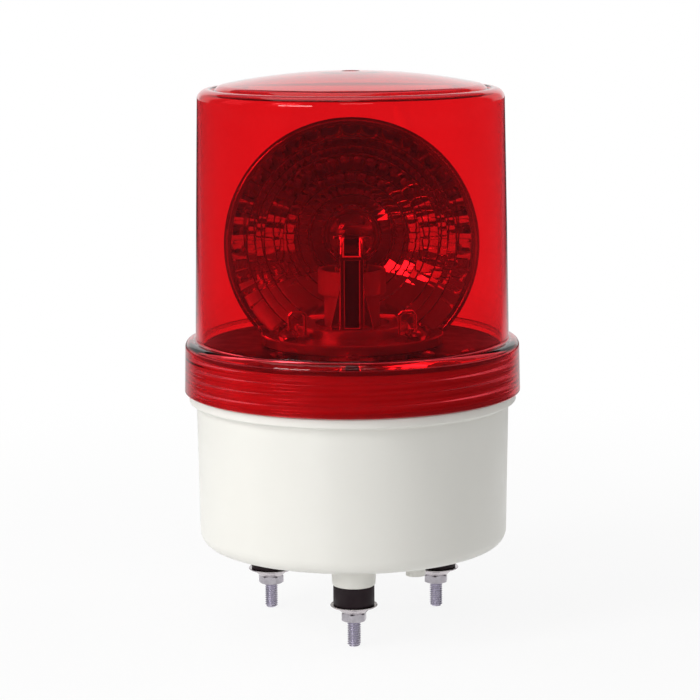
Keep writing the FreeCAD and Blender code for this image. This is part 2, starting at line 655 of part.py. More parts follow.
# Lamp
def lamp_socket():
    """Cup on a narrower waist that is pressed on the pillar."""
    cup_floor = SOCKET_WAIST_HIGH + 2.0
    return turned((PILLAR_R, SOCKET_LOW), (SOCKET_WAIST_R, SOCKET_LOW), (SOCKET_WAIST_R, SOCKET_WAIST_HIGH),
                  (SOCKET_R - 0.6, SOCKET_WAIST_HIGH), (SOCKET_R, SOCKET_WAIST_HIGH + 0.6),
                  (SOCKET_R, SOCKET_HIGH - 0.5), (SOCKET_R - 0.5, SOCKET_HIGH),
                  (SOCKET_BORE_R + 0.3, SOCKET_HIGH), (SOCKET_BORE_R, SOCKET_HIGH - 0.5),
                  (SOCKET_BORE_R, cup_floor), (10.9, cup_floor), (10.9, SOCKET_FLOOR), (4.5, SOCKET_FLOOR),
                  (4.5, PILLAR_HIGH), (PILLAR_R, PILLAR_HIGH))


def bayonet_shell():
    """Thin sleeve with two open slots for the pins of the bulb cap."""
    low = SOCKET_FLOOR
    sleeve = pipe(8.4, 7.7, low, low + 15.0)
    foot = pipe(10.8, 7.7, low, low + 0.8)
    slots = [box(-12, 12, -1.3, 1.3, low + 9.5, low + 16.0), box(-12, 12, -1.3, 3.5, low + 9.5, low + 12.4)]
    return sleeve.fuse(foot).cut(slots)


def contact_plunger():
    """Insulating disc with a sprung centre contact."""
    disc_top = SOCKET_FLOOR + 1.4
    return turned((0, SOCKET_FLOOR), (7.4, SOCKET_FLOOR), (7.4, disc_top), (2.2, disc_top),
                  (2.2, CAP_LOW - 0.4), (1.6, CAP_LOW), (0, CAP_LOW))


def bulb_cap():
    cap = turned((0, CAP_LOW), (3.0, CAP_LOW), (3.6, CAP_LOW + 1.0), (CAP_R, CAP_LOW + 2.6),
                 (CAP_R, CAP_HIGH), (CAP_R - 0.5, CAP_HIGH), (CAP_R - 0.5, CAP_LOW + 4.0), (0, CAP_LOW + 4.0))
    pins = Part.makeCylinder(1.0, 2 * 9.2, Vector(-9.2, 0, SOCKET_FLOOR + 11.0), Vector(1, 0, 0))
    return cap.fuse(pins.cut(rod(CAP_R - 0.25, CAP_LOW + 1, CAP_HIGH - 1)))


def bulb_glass():
    """Blown globe on a short neck, open at the foot."""
    wall = 0.6
    low = CAP_LOW + 5.0

    def joint(radius, neck):
        return BULB_Z - math.sqrt(radius ** 2 - neck ** 2)

    inner_r, inner_neck = BULB_R - wall, BULB_NECK_R - wall
    return turned((inner_neck, low), (BULB_NECK_R, low), (BULB_NECK_R, joint(BULB_R, BULB_NECK_R)),
                  ((BULB_R, BULB_Z), (0, BULB_Z + BULB_R)), (0, BULB_Z + inner_r),
                  ((inner_r, BULB_Z), (inner_neck, joint(inner_r, inner_neck))))


def bulb_filament():
    """Glass stem with two supports and the filament across the focus."""
    low = CAP_LOW + 5.6
    stem = turned((0, low), (5.2, low), (5.2, low + 1), (2.6, low + 3), (2.0, low + 12), (0, low + 13.5))
    wires = bent_wire(0.35, [(-1.0, 0, low + 11.0), (-3.4, 0, low + 16.0), (-3.4, 0, MIRROR_Z + 0.6)])
    coil = Part.makeCylinder(0.7, 7.6, Vector(-3.8, 0, MIRROR_Z + 0.6), Vector(1, 0, 0))
    return stem.fuse(mirrored(wires) + [coil])


def lamp_leads():
    return compound([rod(0.9, BOARD_HIGH, SOCKET_FLOOR, (x, 0)) for x in (-2.2, 2.2)])


# Shield post
def post_slab(half_width, front, back, low, high):
    """Slab of the post between two depths: upright up to the kink, then leaning back towards the bulb."""
    def at(depth, z):
        lean = POST_LEAN * max(0.0, z - POST_KINK) / (POST_HIGH - POST_KINK)
        return Vector(-half_width, depth + lean, z)

    heights = [low, POST_KINK, high] if low < POST_KINK < high else [low, high]
    loop = [at(front, z) for z in heights] + [at(back, z) for z in reversed(heights)]
    return Part.Face(Part.makePolygon(loop + loop[:1])).extrude(Vector(2 * half_width, 0, 0))


def post_fin(side):
    """Tapered stiffening fin beside the foot of the post."""
    corners = [(side * POST_HALF_WIDTH, HUB_HIGH), (side * 9.2, HUB_HIGH), (side * 9.2, HUB_HIGH + 1.5),
               (side * POST_HALF_WIDTH, HUB_HIGH + 19.0)]
    face = outline(corners[0], corners[1:], lambda p: Vector(p[0], -21.9, p[1]))
    return face.extrude(Vector(0, 1.8, 0))


def shield_post():
    """Channel-fronted post with flared foot fins, a top leaning over the bulb, and a T-shaped hood."""
    front, back = POST_FRONT, POST_BACK
    channel = POST_HALF_WIDTH - POST_RAIL
    body = post_slab(POST_HALF_WIDTH, front, back, HUB_HIGH, POST_HIGH)
    grooves = [post_slab(channel, front - 6, front + 2.8, HUB_HIGH + 1.2, POST_KINK - 1.0),
               post_slab(channel, front - 6, front + 4.4, POST_KINK + 1.2, POST_HIGH - 1.4)]
    hood = box(-8.2, 8.2, front + POST_LEAN, back + POST_LEAN - 1.0, POST_HIGH - 1.2, POST_HIGH)
    tapped = rod(1.4, HUB_HIGH - 1, HUB_HIGH + 9, POST_SCREW)
    return body.fuse([post_fin(-1), post_fin(1)]).cut(grooves + [tapped]).fuse(hood).removeSplitter()


def shield_screw():
    return screw(2.4, 1.6, 1.4, TABLE_CORE_HIGH, HUB_HIGH + 8, POST_SCREW)


# Horn
def horn_gasket():
    return pipe(28.5, HORN_R, FLOOR_HIGH, HORN_LOW)


def horn_frame():
    """Basket with a flange and four screw ears, open downwards over the sound slots."""
    basket = turned((22.0, HORN_LOW), (29.0, HORN_LOW), (29.0, HORN_FLANGE_HIGH), (HORN_R, HORN_FLANGE_HIGH),
                    (17.0, HORN_BASKET_HIGH), (8.0, HORN_BASKET_HIGH), (8.0, HORN_BASKET_HIGH - 1.8),
                    (15.6, HORN_BASKET_HIGH - 1.8), (22.0, HORN_FLANGE_HIGH))
    ears = [rod(4.0, HORN_LOW, HORN_FLANGE_HIGH, at) for at in HORN_POSTS]
    arms = around(box(27.0, HORN_EAR_R, -4.0, 4.0, HORN_LOW, HORN_FLANGE_HIGH), 4)
    holes = [rod(1.4, HORN_LOW - 1, HORN_FLANGE_HIGH + 1, at) for at in HORN_POSTS]
    return basket.fuse(ears + arms).cut(holes).removeSplitter()


def horn_diaphragm():
    """Thin dome with a stiff rim inside the flange."""
    low, high = HORN_LOW + 0.8, HORN_LOW + 1.4
    upper, lower = (17.0, high), (17.0, low)
    return turned((0, high + 5.4), (dome_middle(upper, high + 5.4), upper), (21.8, high), (21.8, low), lower,
                  (dome_middle(lower, low + 5.4), (0, low + 5.4)))


def horn_magnet():
    return turned((0, HORN_BASKET_HIGH), (14.0, HORN_BASKET_HIGH), (14.0, HORN_MAGNET_HIGH - 1),
                  (13.0, HORN_MAGNET_HIGH), (0, HORN_MAGNET_HIGH))


def horn_screws():
    return compound([screw(2.6, 1.8, 1.2, HORN_FLANGE_HIGH, FLOOR_LOW + 1.2, at) for at in HORN_POSTS])


# Control board
def control_board():
    near, far = BOARD_Y
    cut = 8.0
    board = prism(BOARD_LOW, BOARD_HIGH, (-BOARD_HALF_X, near), (BOARD_HALF_X, near),
                  (BOARD_HALF_X, far - cut), (BOARD_HALF_X - cut, far), (cut - BOARD_HALF_X, far),
                  (-BOARD_HALF_X, far - cut))
    return board.cut([rod(1.6, BOARD_LOW - 1, BOARD_HIGH + 1, at) for at in BOARD_HOLES])


def board_components():
    """Relay, choke, two capacitors, a heat sink and a bridge on the board."""
    z = BOARD_HIGH
    relay = box(-27, -8, 6, 21, z, z + 15)
    choke = pipe(9.0, 4.0, z, z + 8, (12.0, 16.0))
    capacitors = [rod(5.0, z, z + 16, (26.0, 14.0)), rod(4.0, z, z + 12, (26.0, 27.0))]
    fins = [box(-14, 8, y, y + 1.2, z + 2, z + 20) for y in (28.0, 31.0, 34.0)]
    sink = box(-14, 8, 28.0, 35.2, z, z + 2).fuse(fins)
    bridge = box(-34, -29.5, 8, 26, z, z + 11)
    return compound([relay, choke, sink, bridge] + capacitors)


def terminal_block():
    z = BOARD_HIGH
    body = box(10, 30, -11, -2, z, z + 10)
    wells = [rod(1.9, z + 4, z + 11, (12.5 + 5 * k, -6.5)) for k in range(4)]
    mouths = [box(11.0 + 5 * k, 14.0 + 5 * k, -12, -9, z + 1.0, z + 4.0) for k in range(4)]
    return body.cut(wells + mouths)


def board_screws():
    return compound([screw(2.8, 1.8, 1.3, BOARD_HIGH, BOARD_LOW - 8, at) for at in BOARD_HOLES])


PARTS = (
    base_housing, mounting_studs, hex_nuts, inner_nuts, spring_washers, flat_washers, rubber_isolators,
    lens, lens_seal, chassis_deck, deck_screws, lamp_pillar, pillar_screws, thrust_washer, retaining_clip,
    rotor_bush, turntable, drive_gear, gear_screws, drive_pinion, output_shaft,
    gearbox_housing, motor_can, motor_bracket, motor_screws, bracket_spacers, bracket_screws,
    reflector, reflector_screws, reflector_clips, shield_post, shield_screw,
    lamp_socket, bayonet_shell, contact_plunger, bulb_cap, bulb_glass, bulb_filament, lamp_leads,
    horn_gasket, horn_frame, horn_diaphragm, horn_magnet, horn_screws,
    control_board, board_components, terminal_block, board_screws,
)

os.makedirs("parts", exist_ok=True)
for make in PARTS:
    make().exportStep("parts/" + make.__name__ + ".step")
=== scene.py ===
import bpy
import math
from mathutils import Matrix, Vector


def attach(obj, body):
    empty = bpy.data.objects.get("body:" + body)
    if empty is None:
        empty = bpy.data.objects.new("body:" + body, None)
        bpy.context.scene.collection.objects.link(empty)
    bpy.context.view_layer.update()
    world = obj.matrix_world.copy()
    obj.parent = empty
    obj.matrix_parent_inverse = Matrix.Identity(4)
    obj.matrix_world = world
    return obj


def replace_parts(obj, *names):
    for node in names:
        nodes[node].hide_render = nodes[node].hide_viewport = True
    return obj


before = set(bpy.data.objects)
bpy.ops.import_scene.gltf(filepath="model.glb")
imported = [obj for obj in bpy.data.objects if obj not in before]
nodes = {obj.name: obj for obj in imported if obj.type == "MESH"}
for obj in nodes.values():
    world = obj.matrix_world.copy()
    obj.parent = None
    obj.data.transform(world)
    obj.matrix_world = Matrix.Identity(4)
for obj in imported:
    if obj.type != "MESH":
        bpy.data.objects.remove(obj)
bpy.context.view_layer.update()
scene = bpy.context.scene

# Dimensions of the solids that the pieces below follow, in millimetres
STUD_CIRCLE_R = 44.0
STUD_ANGLES = (-90.0, 30.0, 150.0)
STUD_R, STUD_CORE_R, STUD_TOP = 2.95, 2.65, 47.6
NUT_LOW, NUT_HIGH = 11.4, 15.2
LIP_HIGH = 106.2
NECK_R, NECK_HIGH = 70.3, 124.0
COLLAR_R_HIGH, COLLAR_LOW, COLLAR_HIGH, COLLAR_ROUND = 74.5, 106.5, 129.8, 3.4
COLLAR_BORE_R, COLLAR_SHOULDER = 71.9, 126.6
LENS_R_LOW, LENS_R_HIGH, LENS_WALL = 69.8, 67.6, 2.5
LENS_EDGE, SHOULDER_ROUND, LENS_TOP = 236.1, 4.6, 248.0
CREST_R, CREST = LENS_R_HIGH - SHOULDER_ROUND, LENS_EDGE + SHOULDER_ROUND
GROOVE_R, GROOVE_LOW = 61.2, 239.4
DOME_R, DOME_EDGE_R, DOME_ROUND = 288.0, 56.5, 5.8
GATE_R, GATE_DEPTH = 4.0, 0.9
THREAD_LEAD = 4.7
MIRROR_RIM_R, MIRROR_FRONT, MIRROR_Z = 56.8, -1.2, 170.8
TABLE_HIGH = 132.1
POST_FRONT, POST_HALF_WIDTH, POST_RAIL = -24.3, 5.1, 2.0
POST_KINK, POST_LEAN, POST_HIGH = 167.9, 4.6, 177.0

# Dimensions of the pieces alone, in millimetres; the collar stays just inside the solid's 75
COLLAR_R, COLLAR_EDGE = 74.97, 0.5
LENS_TOP_WALL = 1.1
LENS_RIDGE, LENS_THREAD_TOP = 0.65, COLLAR_SHOULDER - 2.0
NECK_RIDGE, NECK_THREAD_INSET = 0.90, 1.2
RIDGE_FLAT, RIDGE_FLANK = 0.2, 1.8
STUD_PITCH, STUD_GROOVE, STUD_TIP = 1.0, 0.52, 0.9
STUD_OFFSET = 0.37
NUT_FLAT, NUT_CORNER_R, NUT_BLANK_R = 5.0, 5.68, 6.0
NUT_BORE_R, NUT_FACE_R = 2.75, 4.7
NUT_CHAMFER_ROWS = (0.06, 0.18, 0.32, 0.48, 0.66, 0.9, 1.2)
NUT_TURNS = (20.0, 23.0, 56.0)
BEAD_INSET, BEAD_R, BEAD_LIFT = 1.45, 0.32, 0.6
POST_EDGE, POST_CROWN = 0.5, 1.6
POST_GROOVE_FROM, POST_GROOVE_TO = 1.2, 4.6
LENS_SIDES, STUD_SIDES, NUT_SIDES = 240, 48, 144


# Material helpers
def shader_of(made):
    return made.node_tree.nodes["Principled BSDF"]


def material(name, **values):
    """Principled material with constant sockets set on the shader itself."""
    made = bpy.data.materials.new(name)
    made.use_nodes = True
    for key, value in values.items():
        shader_of(made).inputs[key.replace("_", " ")].default_value = value
    return made


def node(made, kind, **values):
    """New node; each value goes to the input of that name, or else to the node's setting."""
    new = made.node_tree.nodes.new(kind)
    for key, value in values.items():
        if key in new.inputs:
            new.inputs[key].default_value = value
        else:
            setattr(new, key, value)
    return new


def link(made, source, target):
    made.node_tree.links.new(source, target)


def calc(made, operation, first, second=None):
    """Output of one math node; inputs are sockets or numbers."""
    step = node(made, "ShaderNodeMath", operation=operation)
    for socket, value in zip(step.inputs, (first, second)):
        if isinstance(value, (int, float)):
            socket.default_value = value
        elif value is not None:
            link(made, value, socket)
    return step.outputs[0]


def mapped(made, value, start, end, low, high, kind="LINEAR"):
    """Change from low to high while value goes from start to end."""
    change = node(made, "ShaderNodeMapRange", interpolation_type=kind)
    limits = (("From Min", start), ("From Max", end), ("To Min", low), ("To Max", high))
    for key, number in limits:
        change.inputs[key].default_value = number
    link(made, value, change.inputs["Value"])
    return change.outputs["Result"]


def noise(made, scale, detail=3.0, roughness=0.5, stretch=(1, 1, 1)):
    """Noise over the object's own coordinates, scale in features per metre."""
    place = node(made, "ShaderNodeTexCoord")
    mapping = node(made, "ShaderNodeMapping", Scale=stretch)
    texture = node(made, "ShaderNodeTexNoise", Scale=scale, Detail=detail, Roughness=roughness)
    link(made, place.outputs["Object"], mapping.inputs["Vector"])
    link(made, mapping.outputs["Vector"], texture.inputs["Vector"])
    return texture.outputs["Fac"]


def colour_by(made, factor, *stops):
    """Base colour from a ramp through (position, colour) stops."""
    band = node(made, "ShaderNodeValToRGB")
    elements = band.color_ramp.elements
    while len(elements) < len(stops):
        elements.new(0.5)
    for element, (position, colour) in zip(elements, stops):
        element.position = position
        element.color = (*colour, 1.0)
    link(made, factor, band.inputs["Fac"])
    link(made, band.outputs["Color"], shader_of(made).inputs["Base Color"])


def tone_by(made, factor, colour, spread):
    """Base colour that wavers round one colour."""
    painted_shade, light = (tuple(min(1.0, c * share) for c in colour) for share in (1 - spread, 1 + spread))
    colour_by(made, factor, (0.3, painted_shade), (0.7, light))


def rough_by(made, factor, low, high, start=0.35, end=0.65):
    link(made, mapped(made, factor, start, end, low, high), shader_of(made).inputs["Roughness"])


def bump_by(made, factor, strength, distance):
    bump = node(made, "ShaderNodeBump", Strength=strength, Distance=distance)
    link(made, factor, bump.inputs["Height"])
    link(made, bump.outputs["Normal"], shader_of(made).inputs["Normal"])


def plastic(name, colour, rough, grain=900.0, depth=0.00002, spread=0.05, **values):
    """Moulded plastic: faint flow marks in the colour, fine orange peel on the surface."""
    made = material(name, Roughness=rough, **values)
    tone_by(made, noise(made, 38.0, 4.0, 0.55, (1, 1, 0.35)), colour, spread)
    rough_by(made, noise(made, 150.0), rough * 0.85, rough * 1.2)
    bump_by(made, noise(made, grain, 2.0), 0.25, depth)
    return made


def metal(name, colour, rough, grain=260.0, stretch=(1, 1, 1), spread=0.08, depth=0.0, bare=1.0):
    """Bare or plated metal, dull where bare is under 1: cloudy tone, uneven polish, fine marks
    where a depth is given."""
    made = material(name, Metallic=bare, Roughness=rough)
    tone_by(made, noise(made, grain, 4.0, 0.6, stretch), colour, spread)
    rough_by(made, noise(made, grain * 0.5, 3.0, 0.5, stretch), rough * 0.75, rough * 1.35)
    if depth:
        bump_by(made, noise(made, grain * 6, 2.0, 0.5, stretch), 0.3, depth)
    return made


def clear(name, colour, rough, ior, spread=0.03):
    """Clear moulded or blown piece: transmission with faint flow marks."""
    made = material(name, Roughness=rough, IOR=ior, Transmission_Weight=1.0)
    tone_by(made, noise(made, 26.0, 2.0, 0.4, (1, 1, 0.3)), colour, spread)
    rough_by(made, noise(made, 90.0), rough * 0.7, rough * 1.3)
    return made


def post_with_painted_shade():
    """Bright metallised post with painted shade: the webs of its two front grooves and its crown
    are painted dark and satin, standing in for the shade in these recesses.
    """
    made = material("post_metallised", Metallic=1.0)
    place = node(made, "ShaderNodeSeparateXYZ")
    link(made, node(made, "ShaderNodeTexCoord").outputs["Object"], place.inputs["Vector"])
    x, y, z = (place.outputs[axis] for axis in "XYZ")
    front = mapped(made, z, POST_KINK / 1000, POST_HIGH / 1000, POST_FRONT / 1000,
                   (POST_FRONT + POST_LEAN) / 1000)
    depth = calc(made, "SUBTRACT", y, front)
    crown = calc(made, "GREATER_THAN", z, (POST_HIGH - POST_CROWN) / 1000)
    groove = calc(made, "GREATER_THAN", depth, POST_GROOVE_FROM / 1000)
    shallow = calc(made, "LESS_THAN", depth, POST_GROOVE_TO / 1000)
    between = calc(made, "LESS_THAN", calc(made, "ABSOLUTE", x),
                   (POST_HALF_WIDTH - POST_RAIL + 0.1) / 1000)
    # Painted shade: the groove webs and the crown are painted dark, with a little random tone,
    # standing in for the shade in the recess and under the hood
    painted_shade = calc(made, "MULTIPLY", calc(made, "MAXIMUM", groove, crown), shallow)
    painted_shade = calc(made, "MULTIPLY", painted_shade, between)
    painted_shade = calc(made, "ADD", painted_shade, calc(made, "MULTIPLY", noise(made, 90.0), 0.12))
    colour_by(made, painted_shade, (0.0, (0.84, 0.84, 0.86)), (0.12, (0.78, 0.78, 0.80)),
              (0.9, (0.10, 0.10, 0.11)), (1.0, (0.08, 0.08, 0.09)))
    rough_by(made, painted_shade, 0.04, 0.40, 0.0, 1.1)
    return made


# Materials
WHITE = plastic("housing_white_plastic", (0.80, 0.79, 0.74), 0.36, grain=1500.0, spread=0.012)
RED = clear("lens_red_plastic", (0.87, 0.062, 0.082), 0.012, 1.49)
MIRROR = metal("mirror_coating", (0.90, 0.90, 0.91), 0.016, grain=60.0, spread=0.03)
CHROME = metal("bright_metallised", (0.80, 0.80, 0.82), 0.04, grain=90.0, spread=0.05)
TABLE = metal("table_metallised", (0.68, 0.68, 0.70), 0.13, grain=90.0, spread=0.05, bare=0.65)
ZINC = metal("zinc_plate", (0.45, 0.425, 0.46), 0.33, grain=700.0, spread=0.14, depth=0.000008)
WASHER = metal("washer_bright_zinc", (0.57, 0.53, 0.55), 0.22, grain=500.0)
STUD_ZINC = metal("stud_zinc", (0.58, 0.55, 0.65), 0.25, grain=900.0)
SPRING = metal("spring_wire", (0.78, 0.78, 0.80), 0.12, grain=400.0)
SOCKET = metal("socket_satin", (0.62, 0.62, 0.63), 0.50, grain=500.0, stretch=(1, 1, 0.1),
               depth=0.000006, bare=0.3)
BRASS = metal("brass_satin", (0.80, 0.61, 0.33), 0.30, grain=420.0, bare=0.7)
MOTOR = metal("motor_case", (0.52, 0.53, 0.55), 0.38, grain=300.0, stretch=(1, 1, 0.15),
              depth=0.000006)
TUNGSTEN = metal("filament_grey", (0.66, 0.65, 0.64), 0.48, grain=900.0, bare=0.5)
FERRITE = metal("ferrite", (0.10, 0.10, 0.11), 0.62, grain=600.0, depth=0.00003)
DECK = plastic("deck_grey_plastic", (0.055, 0.055, 0.058), 0.38, spread=0.06,
               Specular_IOR_Level=0.2)
BLACK = plastic("black_plastic", (0.025, 0.025, 0.028), 0.45, spread=0.15)
RUBBER = plastic("rubber_black", (0.013, 0.005, 0.008), 0.58, grain=2600.0, depth=0.00004,
                 spread=0.25, Specular_IOR_Level=0.25)
NECK = plastic("neck_white_plastic", (0.80, 0.80, 0.78), 0.70, spread=0.03,
               Specular_IOR_Level=0.05)
SEAL = plastic("seal_grey_rubber", (0.20, 0.19, 0.19), 0.55, grain=2600.0, depth=0.00004,
               spread=0.12)
NYLON = plastic("nylon_natural", (0.74, 0.72, 0.66), 0.42, spread=0.03)
GEAR = plastic("gear_nylon", (0.68, 0.65, 0.56), 0.40, spread=0.03)
LEAD = plastic("lead_red", (0.50, 0.03, 0.03), 0.40, spread=0.10)
BOARD = plastic("board_green", (0.02, 0.16, 0.06), 0.34, spread=0.16)
TERMINAL = plastic("terminal_green", (0.05, 0.28, 0.12), 0.44, spread=0.06)
CONE = plastic("diaphragm_film", (0.62, 0.60, 0.50), 0.30)
GLASS = clear("bulb_clear_glass", (0.96, 0.97, 0.97), 0.004, 1.5, spread=0.01)
POST = post_with_painted_shade()

NODE_MATERIALS = {
    WHITE: "base_housing",
    RED: "lens",
    MIRROR: "reflector",
    TABLE: "turntable",
    POST: "shield_post",
    ZINC: """mounting_studs hex_nuts inner_nuts deck_screws pillar_screws gear_screws motor_screws
        bracket_screws bracket_spacers motor_bracket reflector_screws shield_screw horn_screws
        board_screws output_shaft""",
    WASHER: "spring_washers flat_washers",
    SPRING: "reflector_clips retaining_clip",
    SOCKET: "lamp_socket lamp_pillar",
    BRASS: "bayonet_shell contact_plunger bulb_cap",
    MOTOR: "gearbox_housing motor_can",
    TUNGSTEN: "bulb_filament",
    FERRITE: "horn_magnet",
    DECK: "chassis_deck",
    BLACK: "horn_frame board_components",
    RUBBER: "rubber_isolators horn_gasket",
    SEAL: "lens_seal",
    NYLON: "rotor_bush thrust_washer",
    GEAR: "drive_gear drive_pinion",
    LEAD: "lamp_leads",
    BOARD: "control_board",
    TERMINAL: "terminal_block",
    CONE: "horn_diaphragm",
    GLASS: "bulb_glass",
}
for made, names in NODE_MATERIALS.items():
    for name in names.split():
        slots = nodes[name].data.materials
        slots.clear()
        slots.append(made)


# Mesh helpers; profiles are lists of (r, z) points
def polar(radius, angle):
    return radius * math.cos(math.radians(angle)), radius * math.sin(math.radians(angle))


def arc(centre, radius, first, last, count):
    """Points of an arc in the (r, z) plane, angles in degrees."""
    turns = [first + (last - first) * k / count for k in range(count + 1)]
    return [(centre[0] + polar(radius, a)[0], centre[1] + polar(radius, a)[1]) for a in turns]


def rounded(corners, steps=4):
    """Profile through (r, z, fillet radius) corners, with support edges beside each fillet."""
    points = []
    for k, (r, z, fillet) in enumerate(corners):
        if not fillet or k in (0, len(corners) - 1):
            points.append((r, z))
            continue
        here = Vector((r, z))
        back = (Vector(corners[k - 1][:2]) - here).normalized()
        ahead = (Vector(corners[k + 1][:2]) - here).normalized()
        half = back.angle(ahead) / 2
        reach = fillet / math.tan(half)
        support = 0.25 * fillet
        start, end = here + back * reach, here + ahead * reach
        middle = here + (back + ahead).normalized() * (fillet / math.sin(half))
        points.append(tuple(start + back * support))
        for step in range(steps + 1):
            ray = start.lerp(end, step / steps) - middle
            points.append(tuple(middle + ray.normalized() * fillet))
        points.append(tuple(end + ahead * support))
    return points


def divided(start, end, count):
    """Points from start to end, without the end itself."""
    return [tuple(a + (b - a) * k / count for a, b in zip(start, end)) for k in range(count)]


def spun_mesh(profile, count, at=(0, 0), move=None, closed=True):
    """Lathe mesh of a profile; move(r, z, turn) may shift a point before it is placed."""
    verts, faces, rings = [], [], []
    for r, z in profile:
        if r < 1e-6:
            rings.append([len(verts)])
            verts.append((at[0], at[1], z))
            continue
        ring = []
        for k in range(count):
            turn = 2 * math.pi * k / count
            rr, zz = move(r, z, turn) if move else (r, z)
            ring.append(len(verts))
            verts.append((at[0] + rr * math.cos(turn), at[1] + rr * math.sin(turn), zz))
        rings.append(ring)
    pairs = list(zip(rings, rings[1:]))
    if closed:
        pairs.append((rings[-1], rings[0]))
    for low, high in pairs:
        if len(low) == 1 and len(high) == 1:
            continue
        for k in range(count):
            n = (k + 1) % count
            if len(low) == 1:
                faces.append((low[0], high[n], high[k]))
            elif len(high) == 1:
                faces.append((low[k], low[n], high[0]))
            else:
                faces.append((low[k], low[n], high[n], high[k]))
    return verts, faces


def joined(parts):
    """One vertex and face list from several."""
    verts, faces = [], []
    for more, shapes in parts:
        offset = len(verts)
        verts += more
        faces += [tuple(i + offset for i in face) for face in shapes]
    return verts, faces


def piece(name, verts, faces, made, body, slot, smooth=True):
    """Mesh object in metres from millimetre data, riding on a body."""
    mesh = bpy.data.meshes.new(name)
    mesh.from_pydata([(x / 1000, y / 1000, z / 1000) for x, y, z in verts], [], faces)
    mesh.validate()
    mesh.polygons.foreach_set("use_smooth", [smooth] * len(mesh.polygons))
    mesh.materials.append(made)
    mesh.update()
    thing = bpy.data.objects.new(name, mesh)
    scene.collection.objects.link(thing)
    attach(thing, body)
    return thing


def ridge(z, turn, offset=0.0):
    """Height share of the rounded ridge of the lens thread; offset in leads."""
    leads = (z - COLLAR_LOW) / THREAD_LEAD - turn / (2 * math.pi) + offset
    away = abs((leads + 0.5) % 1.0 - 0.5) * THREAD_LEAD
    flank = max(0.0, min(1.0, (away - RIDGE_FLAT) / RIDGE_FLANK))
    return 0.5 + 0.5 * math.cos(math.pi * flank)


def fade(z, low, high, run):
    """Share that rises from 0 at low and falls to 0 at high."""
    return max(0.0, min(1.0, (z - low) / run, (high - z) / run))


# Broken edges of the bright post
post = nodes["shield_post"]
post.modifiers.new("one_skin", "WELD").merge_threshold = 0.00001
edges = post.modifiers.new("broken_edges", "BEVEL")
edges.width, edges.segments = POST_EDGE / 1000, 2
edges.limit_method, edges.angle_limit = "ANGLE", math.radians(40)
edges.use_clamp_overlap = False
post.modifiers.new("even_shading", "WEIGHTED_NORMAL")


# Rolled bead on the flat rim of the mirror, ending above the turntable
def mirror_bead(count=160, sides=10):
    reach = MIRROR_RIM_R - BEAD_INSET
    first = -math.degrees(math.asin((MIRROR_Z - TABLE_HIGH - BEAD_LIFT) / reach))
    verts, faces = [], []
    for k in range(count + 1):
        turn = first + (180 - 2 * first) * k / count
        for side in range(sides):
            out, front = polar(BEAD_R, 360 * side / sides)
            x, z = polar(reach + out, turn)
            verts.append((x, MIRROR_FRONT - front, MIRROR_Z + z))
    for k in range(count):
        for side in range(sides):
            here, after = k * sides + side, k * sides + (side + 1) % sides
            faces.append((here, here + sides, after + sides, after))
    faces.append(tuple(range(sides)))
    faces.append(tuple(reversed(range(count * sides, (count + 1) * sides))))
    return verts, faces


piece("mirror_bead", *mirror_bead(), CHROME, "rotor", "mirror")


# Lens: one closed wall with the screw thread inside the collar
DOME_FOOT = LENS_TOP - DOME_R
DOME_LEAN = 90 - math.degrees(math.asin(DOME_EDGE_R / DOME_R))
RIM_R, RIM_UP = polar(DOME_R - DOME_ROUND, DOME_LEAN)
RIM = (RIM_R, DOME_FOOT + RIM_UP)


def dome_z(r, ball=DOME_R):
    """Height of the dome, or of a smaller ball round the same middle, at a radius."""
    return DOME_FOOT + math.sqrt(ball ** 2 - r ** 2)


def lens_outside():
    """From the foot of the collar up to the gate dimple."""
    corner = (COLLAR_R_HIGH - COLLAR_ROUND, COLLAR_HIGH - COLLAR_ROUND)
    start = (LENS_R_LOW - 0.05, COLLAR_HIGH + 4)
    gate_floor = LENS_TOP - GATE_DEPTH
    points = rounded([(COLLAR_BORE_R, COLLAR_LOW, 0), (COLLAR_BORE_R + 0.5, COLLAR_LOW, 0),
                      (COLLAR_R, COLLAR_LOW, COLLAR_EDGE), (COLLAR_R_HIGH, corner[1], 0)])
    points += arc(corner, COLLAR_ROUND, 0, 90, 10)[1:]
    points += rounded([(corner[0] - 0.2, COLLAR_HIGH, 0), (LENS_R_LOW, COLLAR_HIGH, 0.9),
                       (*start, 0)], 5)
    points += divided(start, (LENS_R_HIGH, LENS_EDGE), 8)[1:]
    points += arc((CREST_R, LENS_EDGE), SHOULDER_ROUND, 0, 90, 16)
    points += rounded([(CREST_R - 0.1, CREST, 0), (GROOVE_R + 0.8, CREST - 0.1, 0.3),
                       (GROOVE_R + 0.1, GROOVE_LOW, 0.25), (GROOVE_R - 0.6, GROOVE_LOW, 0.1),
                       (*arc(RIM, DOME_ROUND, 30, 31, 1)[0], 0)])[1:-1]
    points += arc(RIM, DOME_ROUND, 31, DOME_LEAN, 14)
    points += [(r, dome_z(r)) for r in (52, 46, 40, 34, 28, 22, 16, 11, 7, 5)]
    points += rounded([(GATE_R + 0.6, dome_z(GATE_R + 0.6), 0), (GATE_R, dome_z(GATE_R), 0.2),
                       (GATE_R - 0.2, gate_floor, 0.2), (GATE_R / 2, gate_floor, 0)], 3)
    return points + [(0.0, gate_floor)]


